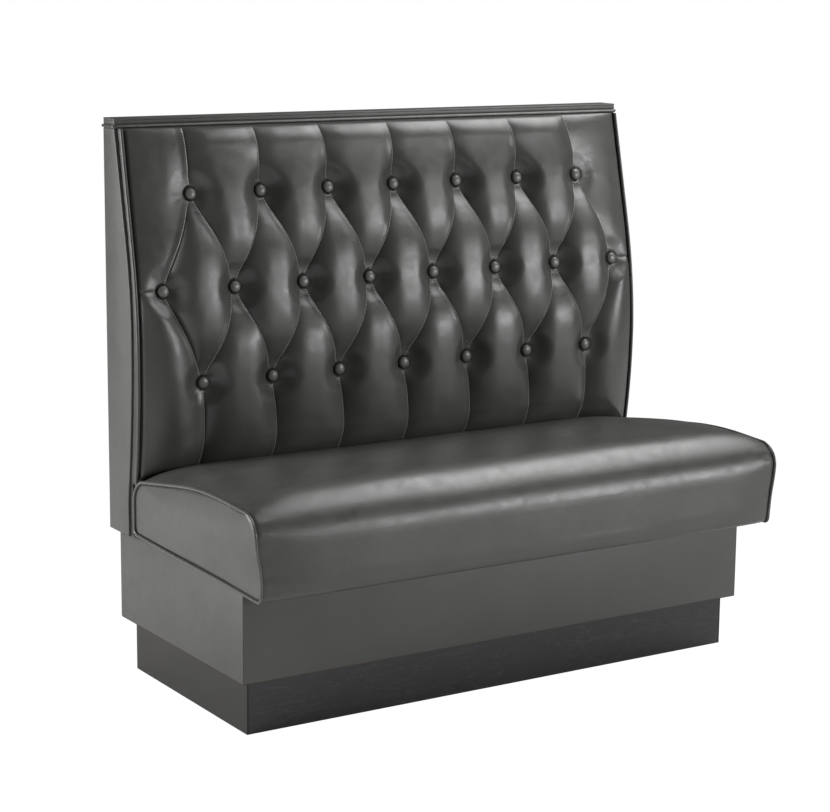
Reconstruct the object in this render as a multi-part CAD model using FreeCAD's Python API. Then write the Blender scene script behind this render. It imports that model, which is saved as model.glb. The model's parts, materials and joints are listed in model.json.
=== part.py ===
import FreeCAD, Part
import math
import os
from FreeCAD import Placement, Rotation, Vector

os.makedirs("parts", exist_ok=True)

# A single restaurant booth with a diamond-tufted back. Millimetres, +Z up, +X along the
# bench, seat facing -Y. The origin is on the floor, under the middle of the booth.
# A "depth" is a distance forward of the booth's rear plane.

# Overall sizes
booth_length = 1168.0
booth_depth = 610.0
booth_height = 1070.0

# Stock and clearances shared by every sub-part
ply = 18.0
vinyl = 1.5
fit_gap = 0.2
cut_overrun = 5.0
welt_radius = 3.3
rod_sides = 6

# Toe kick
kick_height = 102.0
kick_end_inset = 36.0
kick_front_setback = 119.0
kick_rear_depth = 38.0
kick_member_share = 0.325
laminate = 1.2

# Seat box
box_top_height = 276.0
box_end_inset = 17.0
box_front_setback = 97.0
box_rear_depth = 11.0
box_bottom_thickness = 12.0
cleat_width = 28.0
cleat_height = 25.0
rear_rail_width = 62.0
corner_block_size = 40.0
corner_block_height = 100.0

# Seat cushion: heights are above the top of the seat box
seat_end_inset = 3.4
seat_rear_depth = 103.0
seat_deck_margin = 16.0
seat_cover = 2.0
seat_crown = 17.0
seat_crown_run = 160.0
seat_nose_draw = 3.0
seat_rear_corner_height = 122.0
seat_waist_share = 0.448
seat_waist_height = 154.0
seat_brow_setback = 35.0
seat_brow_height = 171.0
seat_nose_height = 30.0
seat_lip_height = 5.0
seat_lip_setback = 18.0
seat_lip_relief_share = 4.0
seat_rear_radius = 40.0
seat_waist_radius = 600.0
seat_brow_radius = 58.0
seat_brow_swell = 34.0
seat_nose_radius = 60.0
seat_lip_radius = 4.0

# Back frame
back_reveal = 5.0
outside_panel = 4.0
back_board = 6.0
back_pad = 20.0
top_rail_height = 45.0
middle_rail_height = 60.0

# Side curve of the frame's front edge
frame_foot_rise = 79.0
frame_foot_depth = 85.0
frame_roll_depth = 108.0
frame_top_depth = 48.0

# Side curve of the tufted cushion's edge, where the welt runs
edge_foot_rise = 120.0
edge_foot_depth = 117.0
edge_roll_depth = 132.0
edge_top_depth = 60.0
edge_inset = 2.0

# Heights in the back, as shares of the rise from the seat box to the top of the cap
middle_rail_share = 0.458
frame_roll_share = 0.49
edge_roll_share = 0.408
middle_row_share = 0.602
row_pitch_share = 0.223

# Bow of the two rolls, as shares of the tightest arc that still meets the cap
frame_bow_share = 0.71
edge_bow_share = 0.75

# Tufting
button_margin = 59.0
outer_row_buttons = 7
pillow_chords = 6
pillow_crown = 30.0
pleat_rise = 17.0
pleat_neck = 5.0
top_roll_height = 30.0
top_roll_depth = 7.0
top_crown = 11.0
foot_crown = 22.0
tuck_crown = 3.0
tuck_height = 26.0

fold_bow_share = 0.3
band_shares = (0.0, 0.15, 0.35, 0.5, 0.65, 0.85, 1.0)
channel_shares = (0.0, 0.5, 1.0)
roll_shares = (0.6, 1.0)

# Buttons and their ties
button_radius = 11.0
button_rim = 2.5
button_height = 8.0
button_face_radius = 6.5
button_sides = 10
button_sink = 1.0
pocket_margin = 1.6
tie_radius = 1.0
tie_sides = 4
knot_radius = 4.0
knot_height = 3.0

# Cap rail
cap_cover = 2.0
cap_corner_radius = 3.5

# Fasteners
bolt_radius = 4.0
bolt_head_height = 5.0
bolt_spacing_share = 0.291
washer_radius = 10.0
washer_thickness = 1.6
nut_height = 6.5
nut_width = 13.0
screw_radius = 2.2
screw_head_radius = 4.2
screw_head_height = 2.6
screw_bite = 12.0
seat_screw_share = 0.411
kick_screw_share = 0.719

# Derived places that several sub-parts share
half_length = booth_length / 2
kick_member_spacing = kick_member_share * booth_length
button_pitch = (booth_length - 2 * button_margin) / outer_row_buttons
bolt_spacing = bolt_spacing_share * booth_length
seat_screw_spacing = seat_screw_share * booth_length
kick_screw_spacing = kick_screw_share * booth_length
rear_y = booth_depth / 2
kick_front_depth = booth_depth - kick_front_setback
box_front_depth = booth_depth - box_front_setback
seat_waist_depth = seat_rear_depth + (booth_depth - seat_rear_depth) * seat_waist_share
seat_brow_depth = booth_depth - seat_brow_setback
seat_lip_depth = booth_depth - seat_lip_setback
cap_bottom = booth_height - cap_cover - ply
back_foot = box_top_height + back_reveal
back_rise = booth_height - box_top_height
middle_rail_level = box_top_height + middle_rail_share * back_rise
frame_foot_height = box_top_height + frame_foot_rise
frame_roll_height = box_top_height + frame_roll_share * back_rise
edge_foot_height = box_top_height + edge_foot_rise
edge_roll_height = box_top_height + edge_roll_share * back_rise
middle_row_height = box_top_height + middle_row_share * back_rise
row_pitch = row_pitch_share * back_rise
back_inner_x = half_length - vinyl - ply
edge_x = half_length - edge_inset
tuft_half_width = edge_x - welt_radius - fit_gap
skirt_depth = seat_rear_depth - welt_radius
box_x = half_length - box_end_inset
kick_x = half_length - kick_end_inset
seat_x = half_length - seat_end_inset
mirror_plane = Vector(1, 0, 0)


def block(x0, x1, depth0, depth1, z0, z1):
    """A plain board between two depths."""
    corner = Vector(x0, rear_y - depth1, z0)
    return Part.makeBox(x1 - x0, depth1 - depth0, z1 - z0, corner)


def rod(radius, length, start=Vector(0, 0, 0), direction=Vector(0, 0, 1), sides=rod_sides):
    """A small round bar, drawn as a prism with as many sides as its size deserves."""
    corners = [Vector(radius, 0, 0)]
    for side in range(1, sides):
        angle = 2 * math.pi * side / sides
        corners.append(Vector(radius * math.cos(angle), radius * math.sin(angle), 0))
    prism = Part.Face(Part.makePolygon(corners + corners[:1])).extrude(Vector(0, 0, length))
    return turned(prism, start, direction)


def mirrored(shape):
    return shape.mirror(Vector(0, 0, 0), mirror_plane)


def turned(shape, place, direction):
    """Moves a piece made along +Z from the origin to a place and direction."""
    copy = shape.copy()
    copy.Placement = Placement(place, Rotation(Vector(0, 0, 1), direction))
    return copy


def export(name, shape):
    shape.exportStep(f"parts/{name}.step")


def export_pair(name, left):
    """Writes a left-hand piece and its mirror image."""
    export(name.replace("SIDE", "left"), left)
    export(name.replace("SIDE", "right"), mirrored(left))


class SideCurve:
    """Front edge in side view: upright foot, lumbar roll of two arcs, straight recline."""

    def __init__(self, foot_height, foot_depth, roll_height, roll_depth, top_depth, bow_share):
        self.foot_height, self.foot_depth = foot_height, foot_depth
        self.roll_height, self.roll_depth = roll_height, roll_depth
        rise = roll_height - foot_height
        step = roll_depth - foot_depth
        self.lower_radius = (rise * rise + step * step) / (2 * step)
        up = cap_bottom - roll_height
        lean = roll_depth - top_depth
        radius = bow_share * (up * up + lean * lean) / (2 * lean)
        self.radius = radius
        out = radius - lean
        self.recline = math.atan2(up, out) - math.acos(radius / math.hypot(up, out))
        self.recline_height = roll_height + radius * math.sin(self.recline)

    def depth(self, z):
        if z < self.foot_height:
            return self.foot_depth
        if z <= self.roll_height:
            reach = math.sqrt(self.lower_radius ** 2 - (self.roll_height - z) ** 2)
            return self.roll_depth - self.lower_radius + reach
        if z <= self.recline_height:
            reach = math.sqrt(self.radius ** 2 - (z - self.roll_height) ** 2)
            return self.roll_depth - self.radius + reach
        start = self.roll_depth - self.radius + self.radius * math.cos(self.recline)
        return start - (z - self.recline_height) * math.tan(self.recline)

    def point(self, x, z, forward=0.0):
        return Vector(x, rear_y - self.depth(z) - forward, z)

    def normal(self, z):
        """Unit vector square to the curve, towards the front."""
        step = fit_gap
        slope = (self.depth(z + step) - self.depth(z - step)) / (2 * step)
        return Vector(0, -1, -slope).normalize()

    def edges(self, x, z0, z1, forward=0.0):
        """The curve from height z0 up to z1, moved forward, as lines and arcs."""
        knots = (self.foot_height, self.roll_height, self.recline_height)
        levels = [z0] + [z for z in knots if z0 < z < z1] + [z1]
        result = []
        for low, high in zip(levels, levels[1:]):
            start = self.point(x, low, forward)
            middle = self.point(x, (low + high) / 2, forward)
            end = self.point(x, high, forward)
            if high <= self.foot_height or low >= self.recline_height:
                result.append(Part.LineSegment(start, end).toShape())
            else:
                result.append(Part.Arc(start, middle, end).toShape())
        return result


frame_curve = SideCurve(frame_foot_height, frame_foot_depth, frame_roll_height,
                        frame_roll_depth, frame_top_depth, frame_bow_share)
edge_curve = SideCurve(edge_foot_height, edge_foot_depth, edge_roll_height,
                       edge_roll_depth, edge_top_depth, edge_bow_share)


def closed_prism(edges, x0, x1):
    """Closes an open chain of edges with a straight line and extrudes it along X."""
    wire = Part.Wire(edges)
    ends = [vertex.Point for vertex in (wire.OrderedVertexes[0], wire.OrderedVertexes[-1])]
    closing = Part.LineSegment(ends[1], ends[0]).toShape()
    face = Part.Face(Part.Wire(edges + [closing]))
    return face.extrude(Vector(x1 - x0, 0, 0))


def line(start, end):
    return Part.LineSegment(start, end).toShape()


def curved_board(x0, x1, z0, z1, back_depth, forward=0.0):
    """A board whose front edge follows the frame's curve and whose back edge is upright."""
    front = frame_curve.edges(x0, z0, z1, forward)
    foot = frame_curve.point(x0, z0, forward)
    top = frame_curve.point(x0, z1, forward)
    back_foot_point = Vector(x0, rear_y - back_depth, z0)
    back_top_point = Vector(x0, rear_y - back_depth, z1)
    chain = [line(back_foot_point, foot)] + front + [line(top, back_top_point)]
    return closed_prism(chain, x0, x1)


def curved_sheet(x0, x1, z0, z1, behind, forward):
    """A sheet of even depth that follows the frame's curve."""
    thick = curved_board(x0, x1, z0, z1, 0.0, forward)
    return thick.cut(curved_board(x0 - cut_overrun, x1 + cut_overrun, z0 - cut_overrun,
                                  z1 + cut_overrun, -cut_overrun, behind))


# Toe kick

def make_toe_kick():
    front = kick_front_depth - laminate
    side = kick_x - laminate
    member_top = kick_height - fit_gap
    front_board = block(-side, side, front - ply, front, 0, kick_height)
    rear_board = block(-side, side, kick_rear_depth, kick_rear_depth + ply, 0, kick_height)
    export("kick_front_board", front_board.cut(kick_screws()))
    export("kick_rear_board", rear_board.cut(kick_screws()))
    inner_rear = kick_rear_depth + ply
    inner_front = front - ply
    export_pair("kick_SIDE_board", block(-side, ply - side, inner_rear, inner_front,
                                         0, kick_height))
    members = [block(x - ply / 2, x + ply / 2, inner_rear, inner_front, 0, member_top)
               for x in (-kick_member_spacing / 2, kick_member_spacing / 2)]
    export("kick_cross_members", Part.makeCompound(members))
    export("kick_front_laminate", block(-kick_x, kick_x, front, kick_front_depth,
                                        0, kick_height))
    export_pair("kick_SIDE_laminate", block(-kick_x, -side, kick_rear_depth, front,
                                            0, kick_height))


# Seat box

def make_screw(length):
    """A pan-head wood screw along +Z, with the underside of its head at the origin."""
    head = rod(screw_head_radius, screw_head_height, Vector(0, 0, -screw_head_height))
    return head.fuse(rod(screw_radius, length)).removeSplitter()


def kick_screws():
    """Screws that go down through the box's bottom into the kick's front and rear boards."""
    head_level = kick_height + box_bottom_thickness
    depths = (kick_rear_depth + ply / 2, kick_front_depth - laminate - ply / 2)
    places = [(x, depth) for depth in depths
              for x in (-kick_screw_spacing / 2, kick_screw_spacing / 2)]
    screw = make_screw(box_bottom_thickness + screw_bite)
    return [turned(screw, Vector(x, rear_y - depth, head_level), Vector(0, 0, -1))
            for x, depth in places]


def seat_screws():
    """Screws that go up through the box's cleats into the seat deck."""
    level = box_top_height - cleat_height
    front = box_front_depth - vinyl - ply - cleat_width / 2
    side = box_x - vinyl - ply - cleat_width / 2
    middle = (seat_rear_depth + front) / 2
    places = [(-seat_screw_spacing / 2, front), (0.0, front), (seat_screw_spacing / 2, front),
              (-side, middle), (side, middle)]
    screw = make_screw(cleat_height + screw_bite)
    return [turned(screw, Vector(x, rear_y - depth, level), Vector(0, 0, 1))
            for x, depth in places]


def joining_bolts():
    """Places of the bolts that hold the back's bottom rail to the box's rear rail."""
    rail_front = frame_foot_depth - back_pad - back_board
    depth = (box_rear_depth + ply + rail_front) / 2
    return [Vector(x, rear_y - depth, box_top_height - cleat_height)
            for x in (-bolt_spacing * 3 / 2, -bolt_spacing / 2, bolt_spacing / 2,
                      bolt_spacing * 3 / 2)]


def make_seat_box():
    front = box_front_depth - vinyl
    side = box_x - vinyl
    inner_rear = box_rear_depth + ply
    inner_front = front - ply
    inner_x = side - ply
    low, high = kick_height, box_top_height
    cleat_low = high - cleat_height
    export("seat_box_front_panel", block(-side, side, inner_front, front, low, high))
    export("seat_box_rear_panel", block(-side, side, box_rear_depth, inner_rear, low, high))
    export_pair("seat_box_SIDE_panel", block(-side, -inner_x, inner_rear, inner_front, low, high))
    bottom = block(-inner_x, inner_x, inner_rear, inner_front, low, low + box_bottom_thickness)
    export("seat_box_bottom", bottom.cut(kick_screws()))
    front_cleat = block(-inner_x, inner_x, inner_front - cleat_width, inner_front, cleat_low, high)
    side_cleat = block(-inner_x, cleat_width - inner_x, inner_rear + rear_rail_width,
                       inner_front - cleat_width, cleat_low, high)
    rear_rail = block(-inner_x, inner_x, inner_rear, inner_rear + rear_rail_width, cleat_low, high)
    divider = block(-ply / 2, ply / 2, inner_rear, inner_front, low + box_bottom_thickness, high)
    bolt_holes = [rod(bolt_radius + fit_gap, cleat_height, place) for place in joining_bolts()]
    export("seat_box_front_cleat", front_cleat.cut(seat_screws()))
    export_pair("seat_box_SIDE_cleat", side_cleat.cut(seat_screws()))
    export("seat_box_rear_rail", rear_rail.cut(bolt_holes))
    export("seat_box_divider", divider.cut([front_cleat, rear_rail] + seat_screws()))
    block_low = low + box_bottom_thickness
    corner = Part.makePolygon([Vector(-inner_x, rear_y - inner_front, block_low),
                               Vector(corner_block_size - inner_x, rear_y - inner_front, block_low),
                               Vector(-inner_x, rear_y - inner_front + corner_block_size, block_low),
                               Vector(-inner_x, rear_y - inner_front, block_low)])
    front_left = Part.Face(corner).extrude(Vector(0, 0, corner_block_height))
    middle_y = rear_y - (inner_front + inner_rear) / 2
    rear_left = front_left.mirror(Vector(0, middle_y, 0), Vector(0, 1, 0))
    blocks = [front_left, rear_left, mirrored(front_left), mirrored(rear_left)]
    export("seat_box_corner_blocks", Part.makeCompound(blocks))
    export("seat_box_front_cover", block(-box_x, box_x, front, box_front_depth, low, high))
    export_pair("seat_box_SIDE_cover", block(-box_x, -side, box_rear_depth, front, low, high))


# Seat cushion

def rounded(points, radii):
    """Lines through the points, with a tangent arc of the given radius at each inner point."""
    edges = []
    start = points[0]
    for before, corner, after, radius in zip(points, points[1:], points[2:], radii):
        back = (before - corner).normalize()
        ahead = (after - corner).normalize()
        half_angle = back.getAngle(ahead) / 2
        reach = radius / math.tan(half_angle)
        towards = (back + ahead).normalize()
        middle = corner + towards * (radius / math.sin(half_angle) - radius)
        arc_start = corner + back * reach
        arc_end = corner + ahead * reach
        edges.append(line(start, arc_start))
        edges.append(Part.Arc(arc_start, middle, arc_end).toShape())
        start = arc_end
    edges.append(line(start, points[-1]))
    return edges


def seat_outline(x, crown, inset):
    """The cushion's outline from its rear foot, over the top, to its front lip."""
    lift = box_top_height + seat_crown * crown - inset
    pull = seat_nose_draw * (1 - crown) + inset
    corners = [(seat_rear_depth + inset, box_top_height),
               (seat_rear_depth + inset, lift + seat_rear_corner_height),
               (seat_waist_depth, lift + seat_waist_height),
               (seat_brow_depth - pull, lift + seat_brow_height),
               (booth_depth - pull, box_top_height + seat_nose_height),
               (booth_depth - pull, box_top_height + seat_lip_height + inset),
               (seat_lip_depth - pull - seat_lip_relief_share * inset, box_top_height)]
    points = [Vector(x, rear_y - depth, z) for depth, z in corners]
    brow_radius = seat_brow_radius + seat_brow_swell * crown - inset
    radii = (seat_rear_radius - inset, seat_waist_radius, brow_radius,
             seat_nose_radius, seat_lip_radius)
    return rounded(points, radii)


def seat_section(x, crown, inset=0.0):
    edges = seat_outline(x, crown, inset)
    wire = Part.Wire(edges)
    first, last = wire.OrderedVertexes[0].Point, wire.OrderedVertexes[-1].Point
    return Part.Wire(edges + [line(last, first)])


def seat_body(half_width):
    """The crowned cushion, as a straight middle and two ends that fall away."""
    run_shares = (0.0, 0.14, 0.4, 0.7, 1.0)
    sections = []
    for share in run_shares:
        crown = 1 - (1 - share) ** 3
        x = share * seat_crown_run - half_width
        sections.append(seat_section(x, crown))
    left = Part.makeLoft(sections, True, True)
    middle_half = half_width - seat_crown_run
    middle_face = Part.Face(seat_section(-middle_half, 1.0))
    middle = middle_face.extrude(Vector(2 * middle_half, 0, 0))
    return left.fuse([middle, mirrored(left)]).removeSplitter()


def make_seat():
    cover_half = seat_x - welt_radius
    deck_half = cover_half - seat_deck_margin
    deck = block(-deck_half, deck_half, seat_rear_depth + seat_deck_margin,
                 seat_lip_depth - seat_deck_margin, box_top_height, box_top_height + ply)
    cover = seat_body(cover_half)
    core_half = cover_half - seat_cover
    core_face = Part.Face(seat_section(-core_half, 0.0, seat_cover))
    core = core_face.extrude(Vector(2 * core_half, 0, 0))
    export("seat_deck", deck.cut(seat_screws()))
    export("seat_foam_core", core.cut(deck))
    export("seat_cover", cover.cut(core))
    end_face = Part.Face(seat_section(-seat_x, 0.0, welt_radius))
    export_pair("seat_SIDE_end_panel", end_face.extrude(Vector(welt_radius - fit_gap, 0, 0)))
    path = Part.Wire(seat_outline(-seat_x, 0.0, 0.0))
    export_pair("seat_SIDE_welt", welt_along(path))
    export("seat_screws", Part.makeCompound(seat_screws()))


def welt_along(path):
    """A round welt with the path as its centre line."""
    start = path.OrderedVertexes[0].Point
    direction = path.OrderedEdges[0].tangentAt(path.OrderedEdges[0].FirstParameter)
    section = rod(welt_radius - fit_gap, welt_radius, start, direction).Faces
    end_face = max(section, key=lambda face: -start.distanceToPoint(face.CenterOfMass))
    return path.makePipeShell([end_face.OuterWire], True, True)


# Back frame

def make_back_frame():
    inner = back_inner_x
    board_behind = back_pad + back_board
    rail_rear = outside_panel
    top_low = cap_bottom - top_rail_height
    top_front = frame_top_depth - board_behind
    end_cover = curved_board(-half_length, -inner, back_foot, cap_bottom, 0.0)
    end_board = curved_board(vinyl - half_length, -inner, back_foot + vinyl, cap_bottom - vinyl,
                             vinyl, -vinyl)
    export_pair("back_SIDE_end_board", end_board)
    export_pair("back_SIDE_end_cover", end_cover.cut(end_board))
    export("outside_back_panel", block(-inner, inner, 0.0, outside_panel, back_foot, cap_bottom))
    bottom_top = box_top_height + ply
    bottom_front = frame_foot_depth - board_behind
    bottom_rail = block(-inner, inner, rail_rear, bottom_front, box_top_height, bottom_top)
    bolt_holes = [rod(bolt_radius + fit_gap, cleat_height + ply + cut_overrun, place)
                  for place in joining_bolts()]
    export("back_bottom_rail", bottom_rail.cut(bolt_holes))
    middle_rail = block(-inner, inner, rail_rear, rail_rear + ply, middle_rail_level,
                        middle_rail_level + middle_rail_height)
    export("back_middle_rail", middle_rail)
    export("back_top_rail", block(-inner, inner, rail_rear, top_front, top_low, cap_bottom))
    rib_place_shares = (-2.25, -0.75, 0.75, 2.25)
    for number, share in enumerate(rib_place_shares, 1):
        x = share * button_pitch - ply / 2
        rib = curved_board(x, x + ply, bottom_top, top_low, rail_rear, -board_behind)
        export(f"back_rib_{number}", rib.cut(middle_rail))
    board = curved_sheet(-inner, inner, box_top_height, cap_bottom, -board_behind, -back_pad)
    pad = curved_sheet(-inner, inner, box_top_height, cap_bottom, -back_pad, 0.0)
    holes = [tie_hole(x, z) for x, z in button_places()]
    export("back_inner_board", board.cut(holes))
    export("back_foam_pad", pad.cut(holes))


def make_joining_hardware():
    grip = cleat_height + ply
    hole = rod(bolt_radius + fit_gap / 2, nut_height)
    washer = rod(washer_radius, washer_thickness, sides=2 * rod_sides).cut(hole)
    hexagon_radius = nut_width / math.sqrt(3)
    head = rod(hexagon_radius, bolt_head_height, Vector(0, 0, -bolt_head_height), sides=6)
    shank_length = grip + washer_thickness + nut_height + nut_height / 2
    bolt = head.fuse(rod(bolt_radius, shank_length)).removeSplitter()
    nut = rod(hexagon_radius, nut_height, sides=6).cut(hole)
    up = Vector(0, 0, 1)
    places = joining_bolts()
    export("joining_bolts", Part.makeCompound([turned(bolt, place, up) for place in places]))
    export("joining_washers", Part.makeCompound([turned(washer, place + up * grip, up)
                                                 for place in places]))
    export("joining_nuts", Part.makeCompound([turned(nut, place + up * (grip + washer_thickness), up)
                                              for place in places]))
    export("kick_screws", Part.makeCompound(kick_screws()))


# Tufted cushion

def row_buttons(count):
    return [(index - (count - 1) / 2) * button_pitch for index in range(count)]


def button_places():
    rows = ((middle_row_height + row_pitch, outer_row_buttons),
            (middle_row_height, outer_row_buttons + 1),
            (middle_row_height - row_pitch, outer_row_buttons))
    return [(x, z) for z, count in rows for x in row_buttons(count)]


def button_seat(x, z):
    """The point where a button's underside rests on the cover."""
    return edge_curve.point(x, z) - edge_curve.normal(z) * button_sink


def tie_hole(x, z, radius=tie_radius + fit_gap):
    """A hole from a button's seat back through the pad and the board."""
    normal = edge_curve.normal(z)
    length = edge_roll_depth
    start = button_seat(x, z) - normal * length
    return rod(radius, length + cut_overrun, start, normal, tie_sides)


def tuft_section(z, seams, crown):
    """One level section: a bowed row of chords over each pillow, between its two seams.

    Seams are given as (x, depth). A pillow rises in front of its seams in proportion to
    its width, by the full crown where it is one pitch wide."""
    points = [Vector(seams[0][0], rear_y, z)]
    for (x0, depth0), (x1, depth1) in zip(seams, seams[1:]):
        rise = crown * (x1 - x0) / button_pitch
        for chord in range(pillow_chords):
            share = chord / pillow_chords
            depth = depth0 + (depth1 - depth0) * share + rise * 4 * share * (1 - share)
            points.append(Vector(x0 + (x1 - x0) * share, rear_y - depth, z))
    points.append(Vector(seams[-1][0], rear_y - seams[-1][1], z))
    points.append(Vector(seams[-1][0], rear_y, z))
    return Part.makePolygon(points + points[:1])


def flat_facets(face):
    """A four-sided face as one plane or, where it twists, two along its forward diagonal."""
    plane = face.findPlane()
    if plane:
        return [Part.Face(plane, face.OuterWire)]
    corners = [vertex.Point for vertex in face.OuterWire.OrderedVertexes]
    if corners[0].y + corners[2].y > corners[1].y + corners[3].y:
        corners = corners[1:] + corners[:1]
    first, second, third, fourth = corners
    return [Part.Face(Part.makePolygon([first, second, third, first])),
            Part.Face(Part.makePolygon([first, third, fourth, first]))]


def faceted_loft(sections):
    """A ruled loft through the sections, made of flat facets only."""
    loft = Part.makeLoft(sections, True, True)
    faces = [facet for face in loft.Faces for facet in flat_facets(face)]
    return Part.Solid(Part.Shell(faces))


def diamond_band(tip_height, waist_height):
    """The band between the tips of the diamonds, on an outer row, and their waists."""
    sections = []
    for share in band_shares:
        z = waist_height + (tip_height - waist_height) * share
        edge = edge_curve.depth(z)
        pleat = edge + pleat_rise * math.sin(math.pi * share) ** 2
        narrowing = share - fold_bow_share * math.sin(2 * math.pi * share) / (2 * math.pi)
        half_gap = pleat_neck / 2 + (button_pitch / 2 - pleat_neck) * (1 - narrowing)
        seams = [(-tuft_half_width, edge)]
        for x in row_buttons(outer_row_buttons):
            seams += [(x - half_gap, pleat), (x + half_gap, pleat)]
        seams.append((tuft_half_width, edge))
        sections.append(tuft_section(z, seams, pillow_crown))
    return faceted_loft(sections)


def channel_section(z, edge, pleat, crest):
    """A level section through the upright channels, with seams below the outer rows' buttons."""
    seams = [(-tuft_half_width, edge)]
    seams += [(x, pleat) for x in row_buttons(outer_row_buttons)]
    seams.append((tuft_half_width, edge))
    return tuft_section(z, seams, edge + crest - pleat)


def upper_channels():
    """Upright channels from the top row of buttons to the roll under the cap."""
    row = middle_row_height + row_pitch
    roll_start = cap_bottom - top_roll_height
    sections = []
    for share in channel_shares:
        z = row + (roll_start - row) * share
        edge = edge_curve.depth(z)
        pleat = edge + pleat_rise * math.sin(math.pi / 2 * share) ** 2
        sections.append(channel_section(z, edge, pleat, pillow_crown))
    for share in roll_shares:
        z = roll_start + top_roll_height * share
        fall = 1 - math.sqrt(1 - share ** 2)
        edge = edge_curve.depth(z) - top_roll_depth * fall
        pleat = edge + pleat_rise * (1 - fall)
        crest = pillow_crown - (pillow_crown - top_crown) * fall
        sections.append(channel_section(z, edge, pleat, crest))
    return faceted_loft(sections)


def lower_channels():
    """Upright channels from the bottom row of buttons, tucked in above the seat."""
    row = middle_row_height - row_pitch
    tuck_top = edge_foot_height + tuck_height
    sections = [channel_section(edge_foot_height, skirt_depth, skirt_depth, tuck_crown)]
    for share in channel_shares:
        z = tuck_top + (row - tuck_top) * share
        edge = edge_curve.depth(z)
        pleat = edge + pleat_rise * math.sin(math.pi / 2 * (1 - share)) ** 2
        crest = pillow_crown - (pillow_crown - foot_crown) * (1 - share) ** 2
        sections.append(channel_section(z, edge, pleat, crest))
    return faceted_loft(sections)


def make_tufted_cushion():
    outer_rows = (middle_row_height - row_pitch, middle_row_height + row_pitch)
    skirt = block(-tuft_half_width, tuft_half_width, 0, skirt_depth, back_foot, edge_foot_height)
    bands = [lower_channels(), diamond_band(outer_rows[0], middle_row_height),
             diamond_band(outer_rows[1], middle_row_height), upper_channels()]
    cushion = skirt.fuse(bands)
    frame_space = curved_board(-half_length, half_length, back_foot - cut_overrun,
                               cap_bottom + cut_overrun, -cut_overrun)
    seat_space = seat_body(seat_x - welt_radius)
    seat_space.translate(Vector(0, fit_gap, fit_gap))
    cushion = cushion.cut([frame_space, seat_space])
    pockets = [rod(button_radius + pocket_margin, button_height + pillow_crown,
                   button_seat(x, z), edge_curve.normal(z), button_sides)
               for x, z in button_places()]
    holes = [tie_hole(x, z) for x, z in button_places()]
    export("back_tufted_cushion", cushion.cut(pockets + holes))


def make_button():
    """A covered button along +Z: an upright rim, then a face that tapers forward."""
    rings = [(0.0, button_radius), (button_rim, button_radius), (button_height, button_face_radius)]
    rows = []
    for z, radius in rings:
        angles = [2 * math.pi * side / button_sides for side in range(button_sides)]
        rows.append([Vector(radius * math.cos(a), radius * math.sin(a), z) for a in angles])
    faces = [Part.Face(Part.makePolygon(row + row[:1])) for row in (rows[0], rows[-1])]
    for low, high in zip(rows, rows[1:]):
        for side in range(button_sides):
            after = (side + 1) % button_sides
            corners = [low[side], low[after], high[after], high[side], low[side]]
            faces.append(Part.Face(Part.makePolygon(corners)))
    return Part.Solid(Part.Shell(faces))


def make_buttons():
    button = make_button()
    buttons = [turned(button, button_seat(x, z), edge_curve.normal(z))
               for x, z in button_places()]
    export("back_buttons", Part.makeCompound(buttons))
    ties = []
    for x, z in button_places():
        seat = button_seat(x, z)
        normal = edge_curve.normal(z)
        board_back = frame_curve.depth(z) - back_pad - back_board
        length = (rear_y - board_back - seat.y) / -normal.y
        end = seat - normal * (length + knot_height)
        twine = rod(tie_radius, length + knot_height, end, normal, tie_sides)
        knot = rod(knot_radius, knot_height - fit_gap, end, normal, tie_sides)
        ties.append(twine.fuse(knot).removeSplitter())
    export("back_button_ties", Part.makeCompound(ties))


def make_back_edges():
    """Boxing strips at the cushion's two sides, and the welts along their front edges."""
    inner_x = edge_x - welt_radius
    welt_foot = edge_foot_height + tuck_height
    front_step = edge_curve.edges(-edge_x, welt_foot, cap_bottom, -welt_radius)
    step_point = edge_curve.point(-edge_x, welt_foot, -welt_radius)
    foot = frame_curve.point(-edge_x, back_foot)
    top_back = frame_curve.point(-edge_x, cap_bottom)
    top_front = edge_curve.point(-edge_x, cap_bottom, -welt_radius)
    skirt_foot = Vector(-edge_x, rear_y - skirt_depth, back_foot)
    skirt_top = Vector(-edge_x, rear_y - skirt_depth, edge_foot_height)
    outline = [line(foot, skirt_foot), line(skirt_foot, skirt_top), line(skirt_top, step_point)]
    outline += front_step + [line(top_front, top_back)]
    outline += frame_curve.edges(-edge_x, back_foot, cap_bottom)
    boxing = Part.Face(Part.Wire(Part.__sortEdges__(outline)))
    export_pair("back_SIDE_boxing", boxing.extrude(Vector(edge_x - inner_x, 0, 0)))
    path = Part.Wire(edge_curve.edges(-edge_x, welt_foot, cap_bottom))
    export_pair("back_SIDE_welt", welt_along(path))


# Cap rail

def make_cap():
    cap_front = frame_top_depth
    board_x = half_length - cap_cover
    board_front = cap_front - cap_cover
    board = block(-board_x, board_x, cap_cover, board_front, cap_bottom, cap_bottom + ply)
    shell = block(-half_length, half_length, 0, cap_front,
                  cap_bottom + 2 * welt_radius, booth_height)
    export("cap_board", board)
    export("cap_cover", shell.cut(board))
    x = board_x + welt_radius
    front_y = rear_y - board_front - welt_radius
    level = cap_bottom + welt_radius
    points = [Vector(-x, rear_y - cap_cover, level), Vector(-x, front_y, level),
              Vector(x, front_y, level), Vector(x, rear_y - cap_cover, level)]
    radii = (cap_corner_radius, cap_corner_radius)
    export("cap_welt", welt_along(Part.Wire(rounded(points, radii))))


make_toe_kick()
make_seat_box()
make_seat()
make_back_frame()
make_joining_hardware()
make_tufted_cushion()
make_buttons()
make_back_edges()
make_cap()
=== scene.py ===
import json
import math

import bmesh
import bpy
import numpy as np
from mathutils import Matrix, Vector, noise


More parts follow.
